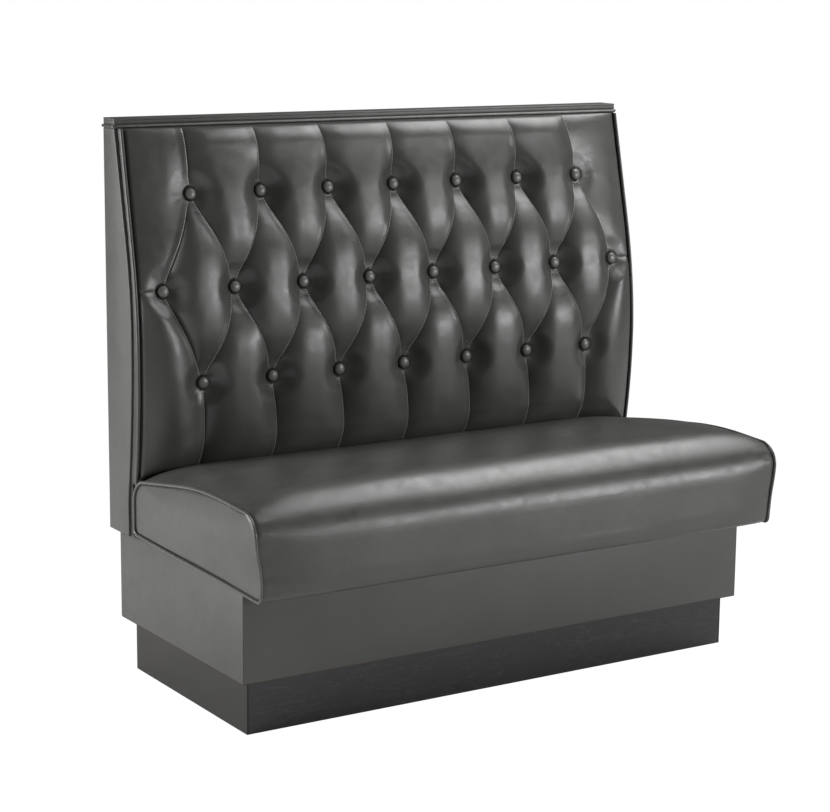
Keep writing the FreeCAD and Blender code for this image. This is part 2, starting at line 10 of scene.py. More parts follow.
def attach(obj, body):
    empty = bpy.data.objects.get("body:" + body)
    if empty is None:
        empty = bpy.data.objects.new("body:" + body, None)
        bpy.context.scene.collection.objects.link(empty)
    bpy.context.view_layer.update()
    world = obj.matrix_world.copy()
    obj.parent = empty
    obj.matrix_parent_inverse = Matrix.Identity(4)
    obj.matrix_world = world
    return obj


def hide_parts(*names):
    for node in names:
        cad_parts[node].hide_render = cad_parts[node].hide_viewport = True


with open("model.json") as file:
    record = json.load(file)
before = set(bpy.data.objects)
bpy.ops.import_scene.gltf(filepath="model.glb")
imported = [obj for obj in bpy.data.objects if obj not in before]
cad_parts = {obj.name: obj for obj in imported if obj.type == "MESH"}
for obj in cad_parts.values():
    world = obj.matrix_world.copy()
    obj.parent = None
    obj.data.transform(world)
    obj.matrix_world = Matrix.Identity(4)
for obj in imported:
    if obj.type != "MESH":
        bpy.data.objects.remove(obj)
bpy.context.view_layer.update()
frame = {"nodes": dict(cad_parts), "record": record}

# Looks of a restaurant booth with a diamond-tufted back. Metres, +Z up, +X along the bench.
# A "depth" is a distance forward of the booth's rear plane, as in the solids.

# Sizes shared with the solids
LENGTH = 1.168
REAR_Y = 0.305
BOOTH_DEPTH = 0.610
HEIGHT = 1.070
BOX_TOP = 0.276
CAP_BOTTOM = 1.050
RISE = HEIGHT - BOX_TOP
HALF = LENGTH / 2
PANEL = 0.0195
WELT = 0.0031                       # radius of the cap's and the seat's welts
BACK_WELT = 0.0034                  # radius of the two upright welts
WELT_SET, WELT_LEAN = 0.0028, 0.0062    # their set-in from the booth's end, and their lean
# Foot z and depth, roll z and depth, top depth and bow of side_depth
FRAME_CURVE = (BOX_TOP + 0.079, 0.085, BOX_TOP + 0.49 * RISE, 0.108, 0.048, 0.71)
EDGE_CURVE = (BOX_TOP + 0.120, 0.117, BOX_TOP + 0.408 * RISE, 0.132, 0.060, 0.75)

# Tufting
PITCH = 0.150
ROW_STEP = 0.223 * RISE
MIDDLE_ROW = BOX_TOP + 0.602 * RISE
TOP_ROW = MIDDLE_ROW + ROW_STEP
LOW_ROW = MIDDLE_ROW - ROW_STEP
BACK_TOP = 1.0535
ROLL_START = BACK_TOP - 0.034       # here the cover begins to turn in under the cap
CUSHION_FOOT = 0.372                # out of sight behind the seat
BASE, BASE_RUN = 0.007, 0.12        # rise of the plane of the buttons, and its run from the welts
CROWN = 0.0305                      # rise of the pillows between two folds
SIDE_CROWN = 0.022                  # rise of the pillows beside a welt
PLEAT_RISE = 0.019                  # rise of the folds midway between two buttons
OUTER_SEAM = 0.35                   # the outermost folds have this share of it
FOLD_BOW = 0.1                      # bow of the folds out of a straight-sided diamond
TOP_DRIFT = (-0.004, -0.009, -0.015, -0.008, -0.016, -0.017, -0.020)   # of the folds under the cap
LIP, LIP_ROUND, LIP_FADE = 0.0016, 0.0018, 0.014    # the raised left-hand edge of each fold
GROOVE_WIDTH, GROOVE_DEPTH = 0.0030, 0.005          # between the cushion and the upright welts
SOFTENING = 0.6                     # share of the relief that is lost in the roll under the cap
PULL_START, PULL_RUN = 0.009, 0.041     # distances from a button where the cover rises again
RING_RADIUS, RING_WIDTH, RING_DEPTH = 0.0125, 0.0025, 0.003    # the moat round a button
DART_DEPTH, DART_WIDTH = 0.0022, 0.0028     # the crease from the outermost buttons to the welts
COLUMNS = 34
LEVEL_STEP = 0.0021
STITCH_IN, STITCH_PITCH, STITCH_REACH, STITCH_THICK = 0.0028, 0.0054, 0.0015, 0.0010

# Seat
SEAT_X = HALF - 0.0034
SEAT_REAR = 0.103
END_SET = 0.0015                    # the skin stands this far inside the welts
TUCK = 0.0035                       # and turns in this far at its ends
CROWN_RUN = 0.160                   # the crown is full this far from an end

scene = bpy.context.scene


# Curves in side view

def smooth(t):
    t = np.clip(t, 0, 1)
    return t * t * (3 - 2 * t)


def side_depth(z, foot_z, foot_d, roll_z, roll_d, top_d, bow):
    """Depth of a side curve at heights z: upright foot, two arcs, straight recline."""
    z = np.asarray(z, float)
    rise, step = roll_z - foot_z, roll_d - foot_d
    low_r = (rise * rise + step * step) / (2 * step)
    up, lean = CAP_BOTTOM - roll_z, roll_d - top_d
    r = bow * (up * up + lean * lean) / (2 * lean)
    out = r - lean
    recline = math.atan2(up, out) - math.acos(r / math.hypot(up, out))
    knee = roll_z + r * math.sin(recline)
    low = roll_d - low_r + np.sqrt(np.maximum(low_r ** 2 - (roll_z - z) ** 2, 0))
    high = roll_d - r + np.sqrt(np.maximum(r ** 2 - (z - roll_z) ** 2, 0))
    straight = roll_d - r + r * math.cos(recline) - (z - knee) * math.tan(recline)
    return np.where(z < foot_z, foot_d,
                    np.where(z <= roll_z, low, np.where(z <= knee, high, straight)))


def frame_depth(z):
    return side_depth(z, *FRAME_CURVE)


def edge_depth(z):
    return side_depth(z, *EDGE_CURVE)


def welt_x(z):
    """x of the right upright welt; the two lean in towards the cap."""
    lean_start, lean_run = 0.60, 0.45
    lean = np.clip((np.asarray(z, float) - lean_start) / lean_run, 0, 1)
    return HALF - WELT_SET - WELT_LEAN * lean


def cushion_x(z):
    return welt_x(z) - WELT


# Mesh helpers

def add_mesh(name, points, faces, material, angle=40, merge=0.0):
    mesh = bpy.data.meshes.new(name)
    mesh.from_pydata([tuple(p) for p in points], [], faces)
    bm = bmesh.new()
    bm.from_mesh(mesh)
    if merge:
        bmesh.ops.remove_doubles(bm, verts=bm.verts, dist=merge)
    bmesh.ops.recalc_face_normals(bm, faces=bm.faces)
    bm.to_mesh(mesh)
    bm.free()
    mesh.polygons.foreach_set("use_smooth", [True] * len(mesh.polygons))
    mesh.set_sharp_from_angle(angle=math.radians(angle))
    mesh.materials.append(material)
    obj = bpy.data.objects.new(name, mesh)
    scene.collection.objects.link(obj)
    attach(obj, "root")
    return obj


def grid_faces(rows, cols, start=0, closed=False):
    faces = []
    for r in range(rows - 1):
        for c in range(cols if closed else cols - 1):
            a = start + r * cols + c
            b = start + r * cols + (c + 1) % cols
            faces.append((a, b, b + cols, a + cols))
    return faces


def bevel(obj, width):
    """Rounds an object's sharp edges in its mesh."""
    bm = bmesh.new()
    bm.from_mesh(obj.data)
    sharp = [e for e in bm.edges if len(e.link_faces) == 2
             and e.calc_face_angle(0) > math.radians(35)]
    bmesh.ops.bevel(bm, geom=sharp, offset=width, segments=3, profile=0.5,
                    affect="EDGES", clamp_overlap=True)
    bm.to_mesh(obj.data)
    bm.free()
    obj.data.polygons.foreach_set("use_smooth", [True] * len(obj.data.polygons))
    obj.data.set_sharp_from_angle(angle=math.radians(50))


def prism(name, outline, axis, low, high, material, round_edge):
    """A flat outline, pushed along X (points are y, z) or Z (points are x, y)."""
    def place(p, t):
        return (t, p[0], p[1]) if axis == "X" else (p[0], p[1], t)
    n = len(outline)
    points = [place(p, low) for p in outline] + [place(p, high) for p in outline]
    faces = [tuple(range(n)), tuple(range(n, 2 * n))]
    faces += [(i, (i + 1) % n, n + (i + 1) % n, n + i) for i in range(n)]
    obj = add_mesh(name, points, faces, material)
    if round_edge:
        bevel(obj, round_edge)
    return obj


def tube(name, path, radius, material, sides=14, wobble=0.0):
    """A round welt along a path of points, closed at both ends."""
    path = [Vector(p) for p in path]
    points, rows = [], len(path)
    side = None
    for i, p in enumerate(path):
        ahead = (path[min(i + 1, rows - 1)] - path[max(i - 1, 0)]).normalized()
        if side is None:
            side = ahead.orthogonal().normalized()
        side = (side - ahead * side.dot(ahead)).normalized()
        other = ahead.cross(side)
        r = radius * (1 + wobble * noise.noise(p * 45.0))
        for k in range(sides):
            a = 2 * math.pi * k / sides
            points.append(p + side * (r * math.cos(a)) + other * (r * math.sin(a)))
    faces = grid_faces(rows, sides, closed=True)
    faces += [tuple(range(sides)), tuple(range((rows - 1) * sides, rows * sides))]
    return add_mesh(name, points, faces, material, angle=60)


def rounded(corners, radii, arc_steps):
    """Points along straight runs joined by tangent arcs, one radius to each inner corner."""
    flat = 0.002
    corners = [np.array(c, float) for c in corners]
    points = [corners[0]]
    for before, corner, after, radius in zip(corners, corners[1:], corners[2:], radii):
        back = (before - corner) / np.linalg.norm(before - corner)
        ahead = (after - corner) / np.linalg.norm(after - corner)
        half = math.acos(max(-1, min(1, float(back @ ahead)))) / 2
        reach = radius / math.tan(half)
        towards = (back + ahead) / np.linalg.norm(back + ahead)
        centre = corner + towards * radius / math.sin(half)
        first, last = corner + back * reach - centre, corner + ahead * reach - centre
        turn = math.pi - 2 * half
        if turn < flat:
            points.append(corner)
            continue
        for k in range(arc_steps + 1):
            t = k / arc_steps
            a = math.sin((1 - t) * turn) / math.sin(turn)
            b = math.sin(t * turn) / math.sin(turn)
            points.append(centre + first * a + last * b)
    points.append(corners[-1])
    return np.array(points)


def resample(points, step):
    """The same path with even steps of about this length."""
    points = np.asarray(points, float)
    gaps = np.linalg.norm(np.diff(points, axis=0), axis=1)
    at = np.concatenate([[0], np.cumsum(gaps)])
    count = max(2, int(round(at[-1] / step)) + 1)
    wanted = np.linspace(0, at[-1], count)
    return np.stack([np.interp(wanted, at, points[:, k]) for k in range(points.shape[1])], 1)


# Materials

def new_material(name):
    """An empty material: its nodes, links, shader and object coordinates."""
    material = bpy.data.materials.new(name)
    material.use_nodes = True
    nodes, links = material.node_tree.nodes, material.node_tree.links
    nodes.clear()
    out = nodes.new("ShaderNodeOutputMaterial")
    shader = nodes.new("ShaderNodeBsdfPrincipled")
    links.new(shader.outputs[0], out.inputs["Surface"])
    coords = nodes.new("ShaderNodeTexCoord")
    return material, nodes, links, shader, coords.outputs["Object"]


def texture(nodes, links, kind, coords, scale, **settings):
    node = nodes.new(kind)
    node.inputs["Scale"].default_value = scale
    for key, value in settings.items():
        if key in node.inputs:
            node.inputs[key].default_value = value
        else:
            setattr(node, key, value)
    links.new(coords, node.inputs["Vector"])
    return node


def ramp(nodes, links, source, stops):
    node = nodes.new("ShaderNodeValToRGB")
    while len(node.color_ramp.elements) < len(stops):
        node.color_ramp.elements.new(0.5)
    for element, (position, colour) in zip(node.color_ramp.elements, stops):
        element.position = position
        element.color = (*colour, 1)
    links.new(source, node.inputs["Fac"])
    return node.outputs["Color"]


def remap(nodes, links, source, low, high, source_low=0.0, source_high=1.0):
    node = nodes.new("ShaderNodeMapRange")
    node.inputs["From Min"].default_value = source_low
    node.inputs["From Max"].default_value = source_high
    node.inputs["To Min"].default_value = low
    node.inputs["To Max"].default_value = high
    links.new(source, node.inputs["Value"])
    return node.outputs["Result"]


def bump(nodes, links, height, strength, distance, below=None):
    node = nodes.new("ShaderNodeBump")
    node.inputs["Strength"].default_value = strength
    node.inputs["Distance"].default_value = distance
    links.new(height, node.inputs["Height"])
    if below is not None:
        links.new(below, node.inputs["Normal"])
    return node.outputs["Normal"]


def blend_colour(nodes, links, share, under, over):
    """Lays a plain colour over a linked one by a linked share."""
    mix = nodes.new("ShaderNodeMix")
    mix.data_type = "RGBA"
    links.new(share, mix.inputs[0])
    links.new(under, mix.inputs[6])
    mix.inputs[7].default_value = (*over, 1)
    return mix.outputs[2]


def vinyl(name, dark, light, rough=(0.28, 0.41), grain=0.38, crease=0.12):
    """Upholstery vinyl: mottled colour, fine pebble grain, faint creases, soft gloss."""
    material, nodes, links, shader, at = new_material(name)
    cloud = texture(nodes, links, "ShaderNodeTexNoise", at, 9.0, Detail=5.0, Roughness=0.6)
    links.new(ramp(nodes, links, cloud.outputs["Fac"], [(0.30, dark), (0.72, light)]),
              shader.inputs["Base Color"])
    patches = texture(nodes, links, "ShaderNodeTexNoise", at, 38.0, Detail=4.0, Roughness=0.65)
    links.new(remap(nodes, links, patches.outputs["Fac"], *rough, 0.3, 0.7),
              shader.inputs["Roughness"])
    shader.inputs["Specular IOR Level"].default_value = 0.75
    creases = texture(nodes, links, "ShaderNodeTexNoise", at, 60.0, Detail=3.0, Distortion=1.2)
    first = bump(nodes, links, creases.outputs["Fac"], crease, 0.0010)
    pebbles = texture(nodes, links, "ShaderNodeTexVoronoi", at, 620.0)
    second = bump(nodes, links, pebbles.outputs["Distance"], grain, 0.00035, first)
    links.new(second, shader.inputs["Normal"])
    return material


def laminate(name, dark, light, vein, end_band=None):
    """Decorative laminate: fine low mottling, and faint pale veins that climb to the right.

    Beyond end_band, a distance from the middle of the booth, its dark edge shows.
    """
    material, nodes, links, shader, at = new_material(name)
    fine = texture(nodes, links, "ShaderNodeTexNoise", at, 120.0, Detail=6.0, Roughness=0.6)
    base = ramp(nodes, links, fine.outputs["Fac"], [(0.32, dark), (0.68, light)])
    turn = nodes.new("ShaderNodeMapping")
    turn.inputs["Rotation"].default_value = (0, math.radians(28), 0)
    turn.inputs["Scale"].default_value = (1.0, 1.0, 6.0)
    links.new(at, turn.inputs["Vector"])
    veins = texture(nodes, links, "ShaderNodeTexNoise", turn.outputs["Vector"], 7.0,
                    Detail=8.0, Roughness=0.6, Distortion=1.1)
    share = ramp(nodes, links, veins.outputs["Fac"],
                 [(0.485, (0, 0, 0)), (0.5, (1, 1, 1)), (0.515, (0, 0, 0))])
    colour = blend_colour(nodes, links, share, base, vein)
    if end_band:
        split = nodes.new("ShaderNodeSeparateXYZ")
        links.new(at, split.inputs[0])
        size = nodes.new("ShaderNodeMath")
        size.operation = "ABSOLUTE"
        links.new(split.outputs["X"], size.inputs[0])
        blur, edge_colour = 0.0002, (0.006, 0.006, 0.007)
        beyond = remap(nodes, links, size.outputs[0], 0.0, 1.0, end_band - blur, end_band + blur)
        colour = blend_colour(nodes, links, beyond, colour, edge_colour)
    links.new(colour, shader.inputs["Base Color"])
    links.new(remap(nodes, links, fine.outputs["Fac"], 0.36, 0.50), shader.inputs["Roughness"])
    links.new(bump(nodes, links, fine.outputs["Fac"], 0.15, 0.0002), shader.inputs["Normal"])
    return material


def plywood(name):
    """Birch plywood: grain along X, with the plies showing at the edges."""
    material, nodes, links, shader, at = new_material(name)
    stretch = nodes.new("ShaderNodeMapping")
    stretch.inputs["Scale"].default_value = (1.0, 9.0, 9.0)
    links.new(at, stretch.inputs["Vector"])
    grain = texture(nodes, links, "ShaderNodeTexNoise", stretch.outputs["Vector"], 14.0,
                    Detail=8.0, Roughness=0.62, Distortion=0.7)
    links.new(ramp(nodes, links, grain.outputs["Fac"],
                   [(0.30, (0.50, 0.34, 0.19)), (0.70, (0.72, 0.56, 0.37))]),
              shader.inputs["Base Color"])
    links.new(remap(nodes, links, grain.outputs["Fac"], 0.55, 0.75), shader.inputs["Roughness"])
    links.new(bump(nodes, links, grain.outputs["Fac"], 0.25, 0.0006), shader.inputs["Normal"])
    return material


def foam(name):
    material, nodes, links, shader, at = new_material(name)
    cells = texture(nodes, links, "ShaderNodeTexVoronoi", at, 700.0)
    links.new(ramp(nodes, links, cells.outputs["Distance"],
                   [(0.0, (0.52, 0.44, 0.26)), (0.6, (0.80, 0.73, 0.52))]),
              shader.inputs["Base Color"])
    shader.inputs["Roughness"].default_value = 0.9
    links.new(bump(nodes, links, cells.outputs["Distance"], 0.6, 0.0006), shader.inputs["Normal"])
    return material


def fibre(name, dark, light):
    """Twisted thread or twine; its near-black copy is also drawn as painted shadow round the
    buttons.
    """
    material, nodes, links, shader, at = new_material(name)
    strands = texture(nodes, links, "ShaderNodeTexNoise", at, 900.0, Detail=3.0)
    links.new(ramp(nodes, links, strands.outputs["Fac"], [(0.3, dark), (0.7, light)]),
              shader.inputs["Base Color"])
    shader.inputs["Roughness"].default_value = 0.7
    links.new(bump(nodes, links, strands.outputs["Fac"], 0.4, 0.0003), shader.inputs["Normal"])
    return material


def steel(name):
    material, nodes, links, shader, at = new_material(name)
    smears = texture(nodes, links, "ShaderNodeTexNoise", at, 90.0, Detail=4.0)
    links.new(ramp(nodes, links, smears.outputs["Fac"],
                   [(0.3, (0.46, 0.46, 0.47)), (0.7, (0.62, 0.62, 0.63))]),
              shader.inputs["Base Color"])
    shader.inputs["Metallic"].default_value = 1.0
    links.new(remap(nodes, links, smears.outputs["Fac"], 0.28, 0.5), shader.inputs["Roughness"])
    return material


VINYL = vinyl("vinyl_soft", (0.0555, 0.0555, 0.0525), (0.072, 0.072, 0.0675))
PANEL_VINYL = vinyl("vinyl_stretched", (0.060, 0.060, 0.0565), (0.073, 0.073, 0.069),
                    rough=(0.42, 0.52))
# Lighter than the cover's vinyl: painted light, standing in for the highlights on the button domes.
BUTTON_VINYL_PAINTED_LIGHT = vinyl("vinyl_button_painted_light", (0.130, 0.130, 0.124), (0.160, 0.160, 0.152),
                     rough=(0.28, 0.34))
# Lighter than the cover's vinyl: painted highlight along the seat's piping.
PIPING_VINYL_PAINTED_LIGHT = vinyl("vinyl_piping_painted_light", (0.086, 0.086, 0.081), (0.098, 0.098, 0.093),
                   rough=(0.25, 0.29), grain=0.08, crease=0.02)
# Darker than the cover's vinyl: painted shade for the recessed boxing strips and the cap's
# underside.
SHADE_PAINTED_VINYL = vinyl("vinyl_painted_shade", (0.040, 0.040, 0.038), (0.052, 0.052, 0.049),
                   rough=(0.45, 0.55))
KICK_FRONT = laminate("laminate_veined", (0.024, 0.024, 0.028), (0.032, 0.032, 0.036),
                      (0.055, 0.055, 0.060), end_band=0.5442)
KICK_SIDE = laminate("laminate_plain", (0.020, 0.0195, 0.018), (0.025, 0.024, 0.0225),
                     (0.030, 0.029, 0.027))
PLY = plywood("birch_plywood")
FOAM = foam("upholstery_foam")
THREAD = fibre("stitching_thread", (0.42, 0.42, 0.40), (0.60, 0.60, 0.575))
TWINE = fibre("tufting_twine", (0.48, 0.42, 0.30), (0.72, 0.65, 0.50))
STEEL = steel("zinc_plated_steel")
CORE_EDGE = fibre("board_edge", (0.050, 0.028, 0.018), (0.085, 0.050, 0.034))
# Near-black: the dark thread of the box's corner seams, and painted shadow in the rings round the
# buttons.
DARK_THREAD_AND_PAINTED_SHADOW = fibre("dark_thread_and_painted_shadow", (0.006, 0.006, 0.006), (0.014, 0.014, 0.013))


def dress_cad_nodes():
    """Gives every carried-over solid the material of its record slot."""
    by_slot = {"vinyl": PANEL_VINYL, "plywood": PLY, "foam": FOAM, "laminate": KICK_FRONT,
               "side_laminate": KICK_SIDE, "steel": STEEL, "twine": TWINE}
    slots = {s["node"]: s["material_slot"] for s in frame["record"]["subparts"]}
    for name, node in frame["nodes"].items():
        node.data.materials.clear()
        node.data.materials.append(by_slot[slots[name]])


# Tufted back

def outer_buttons():
    """x of the seven buttons of the top and the low row."""
    return [(i - 3) * PITCH for i in range(7)]


def middle_buttons():
    """x of the eight buttons of the middle row."""
    return [(i - 3.5) * PITCH for i in range(8)]


def half_gap(z):
    """Half the width of a diamond at height z."""
    share = np.clip(np.abs(np.asarray(z, float) - MIDDLE_ROW) / ROW_STEP, 0, 1)
    narrowing = share - FOLD_BOW * np.sin(2 * np.pi * share) / (2 * np.pi)
    return PITCH / 2 * (1 - narrowing)


def seam_bow(x, z):
    """Sideways drift of the folds, as sewn by hand."""
    seat_line = 0.40
    top = np.clip((z - TOP_ROW) / (CAP_BOTTOM - TOP_ROW), 0, 1)
    low = np.clip((LOW_ROW - z) / (LOW_ROW - seat_line), 0, 1)
    band = np.clip(np.abs(z - MIDDLE_ROW) / ROW_STEP, 0, 1)
    hand = 0.002 * np.sin(37.0 * x + 1.0)
    between_rows = 0.003 * np.sin(np.pi * band) ** 2
    return (np.interp(x, outer_buttons(), TOP_DRIFT) * top ** 1.6 + between_rows
            + (0.005 + hand) * np.sin(np.pi * low * 0.8) - 0.004 * low ** 2)


def seam_height(z):
    """Height of the bottom of the folds over the plane of the buttons."""
    full_rise_z = 0.43
    band = np.clip(np.abs(z - MIDDLE_ROW) / ROW_STEP, 0, 1)
    top = np.clip((z - TOP_ROW) / (ROLL_START - TOP_ROW), 0, 1)
    low = np.clip((LOW_ROW - z) / (LOW_ROW - full_rise_z), 0, 1)
    beyond = np.where(z > TOP_ROW, np.sin(np.pi / 2 * top) ** 2, np.sin(np.pi / 2 * low) ** 2)
    return PLEAT_RISE * np.where((z > TOP_ROW) | (z < LOW_ROW), beyond, np.sin(np.pi * band) ** 2)


def seam_share(bound, z):
    """Share of the folds' height that a bound has: the outermost ones stand lower than the rest."""
    beyond = np.abs(z - MIDDLE_ROW) > ROW_STEP - 1e-6
    low = bound in ((0, -1), (6, 1)) or (beyond & (bound in ((0, 1), (6, -1))))
    return np.where(low, OUTER_SEAM, 1.0)


def roll_fall(z):
    """Share of the way in under the cap: 0 below the roll, nearly 1 at the top."""
    share = np.clip((z - ROLL_START) / (BACK_TOP - ROLL_START), 0, 1)
    return 1 - np.sqrt(1 - 0.98 * share ** 2)


def tuck_fall(z, inward):
    """How far the cover turns back behind the seat, starting lower down beside the welts."""
    fall, start, run, higher = 0.036, 0.398, 0.026, 0.070
    return fall * np.clip((start + higher * inward - z) / (run + higher * inward), 0, 1) ** 1.5


def crest(z, share, crown):
    """Height of the middle of a pillow that is this share of the pitch wide."""
    flat_start, flat_run, fullness = 0.52, 0.14, 0.39
    low = np.clip((flat_start - z) / flat_run, 0, 1)
    high = smooth((z - TOP_ROW) / (ROLL_START - TOP_ROW))
    full = crown * (1 - np.exp(-(share / fullness) ** 2))
    return full * (1 - 0.45 * low ** 2) * (1 - 0.18 * high)


def above_zero(height, ease):
    """The height where it is well over zero, easing to zero where it is below."""
    return (height + np.sqrt(height ** 2 + ease ** 2)) / 2


def pillow_profile(u):
    """Share of the rise across a pillow: full, and steep at its seams."""
    return np.maximum(1 - np.abs(2 * u - 1) ** 2.8, 0) ** 0.84


def seam_x(index, side, z):
    """x of the left (-1) or right (+1) side of diamond number index, or of its fold outside it."""
    x = outer_buttons()[index]
    return x + side * half_gap(z) + seam_bow(x, z)


BUTTONS = [(x, TOP_ROW) for x in outer_buttons()]
BUTTONS += [(x, MIDDLE_ROW) for x in middle_buttons()]
BUTTONS += [(x, LOW_ROW) for x in outer_buttons()]


def levels(low, high):
    """Even heights from low to high."""
    count = max(2, int(round((high - low) / LEVEL_STEP)) + 1)
    return np.linspace(low, high, count)


def pillow_list():
    """(bounds, heights) of every pillow: its two sides and the z of its levels."""
    foot = levels(CUSHION_FOOT, LOW_ROW)
    lower = levels(LOW_ROW, MIDDLE_ROW)
    upper = levels(MIDDLE_ROW, TOP_ROW)
    head = levels(TOP_ROW, BACK_TOP)
    pillows = [(((i, -1), (i, 1)), np.concatenate([lower, upper[1:]])) for i in range(7)]
    for c in range(8):
        bounds = (None if c == 0 else (c - 1, 1), None if c == 7 else (c, -1))
        pillows.append((bounds, np.concatenate([upper, head[1:]])))
        pillows.append((bounds, np.concatenate([foot, lower[1:]])))
    return pillows


def make_tufted_cushion():
    """The pillows, a fold inward under the cap, two edges beside the welts, and a plain back."""
    shares = (1 - np.cos(np.pi * np.arange(COLUMNS) / (COLUMNS - 1))) / 2
    rim = GROOVE_WIDTH + np.array([-0.0030, -0.0012, -0.0003, 0, 0.0002,
                                   0.0005, 0.0010, 0.0016, 0.0025, 0.0037])
    rim_run, back_gap = 0.008, 0.0004
    pillows = pillow_list()
    points, faces = [], []
    for bounds, heights in pillows:
        z = heights[:, None]
        x0, x1 = pillow_sides(bounds, z)
        x = x0 + (x1 - x0) * shares
        if bounds[0] is None:
            x = np.concatenate([x0 + rim, x0 + rim_run + (x1 - x0 - rim_run) * shares], 1)
        elif bounds[1] is None:
            x = np.concatenate([x0 + (x1 - x0 - rim_run) * shares, x1 - rim[::-1]], 1)
        depth = cushion_depth(bounds, z, x)
        start = len(points)
        level = np.broadcast_to(z, x.shape)
        points += list(zip(x.ravel(), (REAR_Y - depth).ravel(), level.ravel()))
        faces += grid_faces(len(heights), x.shape[1], start)
        if heights[-1] == BACK_TOP:
            top = len(points)
            points += [(a, REAR_Y - float(frame_depth(BACK_TOP)), BACK_TOP) for a in x[-1]]
            last = top - x.shape[1]
            faces += [(last + k, last + k + 1, top + k + 1, top + k) for k in range(x.shape[1] - 1)]
    heights = np.unique(np.concatenate([h for b, h in pillows]).round(7))
    count = len(heights)
    backs = []
    for side, bounds in ((-1, (None, (0, -1))), (1, ((6, 1), None))):
        x = side * cushion_x(heights)
        front, back = len(points), len(points) + count
        points += list(zip(x, REAR_Y - cushion_depth(bounds, heights, x), heights))
        points += list(zip(x, REAR_Y - frame_depth(heights) - back_gap, heights))
        faces += [(front + i, front + i + 1, back + i + 1, back + i) for i in range(count - 1)]
        backs.append(back)
    left, right = backs
    faces += [(left + i, left + i + 1, right + i + 1, right + i) for i in range(count - 1)]
    obj = add_mesh("tufted_cushion", points, faces, VINYL, angle=52, merge=0.00005)
    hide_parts("back_tufted_cushion")


def pillow_sides(bounds, z):
    """x of a pillow's two sides; a bound is (index, side) of a seam, or None for the welt."""
    left, right = bounds
    x0 = -cushion_x(z) if left is None else seam_x(*left, z)
    x1 = cushion_x(z) if right is None else seam_x(*right, z)
    return x0, np.maximum(x1, x0)


def pillow_height(bounds, z, x):
    """Height over the plane of the buttons, before they pull the cover in."""
    x0, x1 = pillow_sides(bounds, z)
    width = np.maximum(x1 - x0, 1e-6)
    u = np.clip((x - x0) / width, 0, 1)
    share = width / PITCH
    swell = np.clip(share * 3, 0, 1)
    left_share, right_share = [seam_share(b, z) for b in bounds]
    seam = seam_height(z)
    if None in bounds:
        edge_round, edge_tilt, pinch_width = 0.0060, 0.002, 0.007
        seam = seam * (left_share if bounds[1] is None else right_share)
        v = u if bounds[0] is None else 1 - u
        turn = np.clip((v * width - GROOVE_WIDTH) / edge_round, 0, 1)
        edge = np.sqrt(np.maximum(1 - (1 - turn) ** 2, 0))
        pinch = 1 - 0.35 * np.exp(-((z - MIDDLE_ROW) / pinch_width) ** 2)
        full = SIDE_CROWN * (1 - 0.82 * smooth((z - MIDDLE_ROW + 0.03) / 0.06))
        rise = above_zero(crest(z, share, full) - 0.75 * seam, 0.004) * pinch
        height = (-GROOVE_DEPTH * (1 - edge) + edge_tilt * edge * (1 - v)
                  + seam * np.sin(np.pi / 2 * v) + rise * np.sin(np.pi * v))
    else:
        seam = seam * (left_share + (right_share - left_share) * u)
        rise = above_zero(crest(z, share, CROWN) - seam, 0.006 * swell)
        height = seam + rise * pillow_profile(u)
    if bounds[1] is not None:
        gap = (1 - u) * width
        up = np.sqrt(np.maximum(1 - np.maximum(1 - gap / LIP_ROUND, 0) ** 2, 0))
        fade = 1 - smooth((gap - LIP_ROUND) / LIP_FADE)
        height = height + LIP * swell * np.where(gap < LIP_ROUND, up, fade)
    return height


def unevenness(x, z):
    """Hand-stuffed pillows: slow swells and faint upright ripples."""
    return (0.0012 * noise.noise(Vector((x * 9, 0.3, z * 7)))
            + 0.0005 * noise.noise(Vector((x * 30, 4.0, z * 8)))
            + 0.0003 * noise.noise(Vector((x * 40, 8.0, z * 34))))


def base_depth(x, z):
    """Depth of the plane of the buttons, which falls away to the welts, the cap and the seat."""
    inward = np.sin(np.pi / 2 * np.clip((cushion_x(z) - np.abs(x)) / BASE_RUN, 0, 1))
    return edge_depth(z) - tuck_fall(z, inward) + BASE * inward * (1 - SOFTENING * roll_fall(z))


def cushion_depth(bounds, z, x):
    """Depth of the tufted face: pillows, drawn in and slightly wrinkled by the buttons."""
    z, x = np.broadcast_arrays(np.asarray(z, float), np.asarray(x, float))
    height = pillow_height(bounds, z, x) * (1 - SOFTENING * roll_fall(z))
    pull, ring, wrinkle = np.ones_like(x), np.zeros_like(x), np.zeros_like(x)
    for bx, bz in BUTTONS:
        r = np.hypot(x - bx, z - bz)
        if r.min() > 0.08:
            continue
        pull = np.minimum(pull, smooth((r - PULL_START) / PULL_RUN))
        ring = np.maximum(ring, np.exp(-((r - RING_RADIUS) / RING_WIDTH) ** 2))
        angle = np.arctan2(z - bz, x - bx)
        # Below and left of the lowest buttons, where the cover is slack, the wrinkles are deeper
        slack = np.exp(-((np.mod(angle, 2 * np.pi) - 3.93) / 0.87) ** 2) if bz == LOW_ROW else 0.0
        wrinkle = wrinkle + ((0.0003 * slack + 0.00008) * np.exp(-((r - 0.034) / 0.013) ** 2)
                             * np.sin(13 * angle + 40 * bx + 30 * bz))
    dart = (DART_DEPTH * np.exp(-((z - MIDDLE_ROW) / DART_WIDTH) ** 2)
            * smooth((np.abs(x) - 0.536) / 0.012))
    soft = np.array([unevenness(a, b) for a, b in zip(x.ravel(), z.ravel())]).reshape(x.shape)
    return (base_depth(x, z) + height * pull - RING_DEPTH * ring + wrinkle - dart
            + soft * (0.2 + 0.8 * pull))


